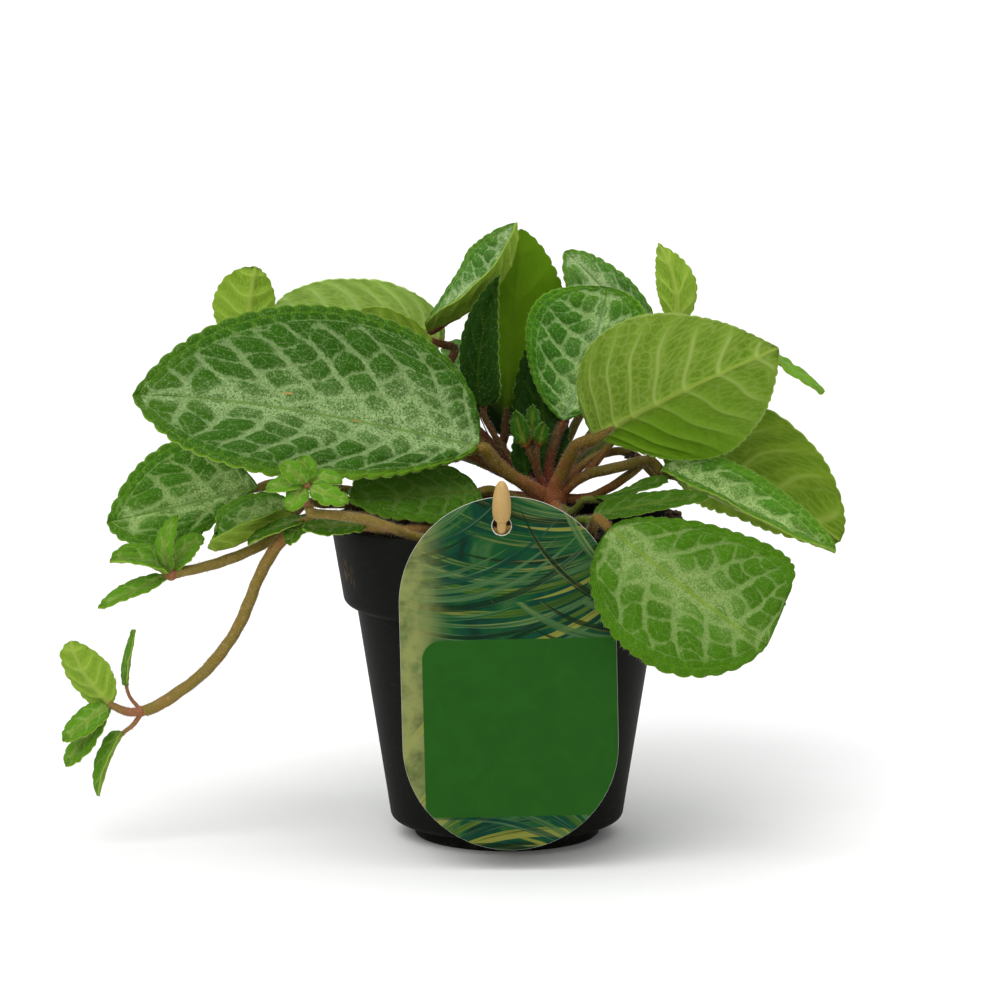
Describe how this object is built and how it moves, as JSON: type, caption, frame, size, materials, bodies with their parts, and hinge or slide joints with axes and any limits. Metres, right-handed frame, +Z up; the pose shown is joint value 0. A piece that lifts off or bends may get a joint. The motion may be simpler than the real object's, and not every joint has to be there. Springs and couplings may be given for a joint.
{
  "type": "potted foliage plant",
  "caption": "Potted flame violet with minty, net-veined scalloped leaves, runners with plantlets trailing over a dark nursery pot, and a plain hang tag on a wooden peg.",
  "frame": {"origin": "centre of the flat base that the pot stands on", "axes": "+Z up; the hang tag faces -Y and the longest runner trails towards -X"},
  "size_m": [0.2668, 0.1918, 0.2072],
  "materials": {
    "pot_plastic": "satin",
    "soil": "matte",
    "tag_card": "satin",
    "peg_wood": "matte",
    "leaf_stalk": "matte",
    "runner_stem": "matte",
    "leaf_blade": "matte",
    "young_leaf": "matte"
  },
  "bodies": {
    "root": {"pot": "pot_plastic", "soil": "soil", "tag": "tag_card", "tag_peg": "peg_wood", "crown": "leaf_stalk", "runner_long": "runner_stem", "runner_middle": "runner_stem", "runner_short": "runner_stem", "plantlet_long": "young_leaf", "plantlet_middle": "young_leaf", "plantlet_short": "young_leaf", "leaf_front_left": "leaf_blade", "leaf_front_right": "leaf_blade", "leaf_over_rim": "leaf_blade", "leaf_low_left": "leaf_blade", "leaf_low_left_folded": "leaf_blade", "leaf_upper_left_small": "leaf_blade", "leaf_upper_left": "leaf_blade", "leaf_upper_left_curled": "leaf_blade", "leaf_top_folded": "leaf_blade", "leaf_top_broad": "leaf_blade", "leaf_centre_young": "leaf_blade", "leaf_centre_dark": "leaf_blade", "leaf_centre_right": "leaf_blade", "leaf_top_right": "leaf_blade", "leaf_top_right_small": "leaf_blade", "leaf_right_edge": "leaf_blade", "leaf_right_back": "leaf_blade", "leaf_right_pointed": "leaf_blade", "leaf_low_right": "leaf_blade", "leaf_low_right_small": "leaf_blade", "leaf_under_left": "leaf_blade", "leaf_back_left": "leaf_blade", "leaf_back_middle": "leaf_blade", "leaf_back_right": "leaf_blade", "leaf_back_far_right": "leaf_blade", "leaf_back_far_left": "leaf_blade", "leaf_back_low_left": "leaf_blade", "leaf_back_low_right": "leaf_blade", "bud_back": "young_leaf", "bud_left": "young_leaf", "bud_middle": "young_leaf", "bud_right": "young_leaf"}
  },
  "joints": []
}
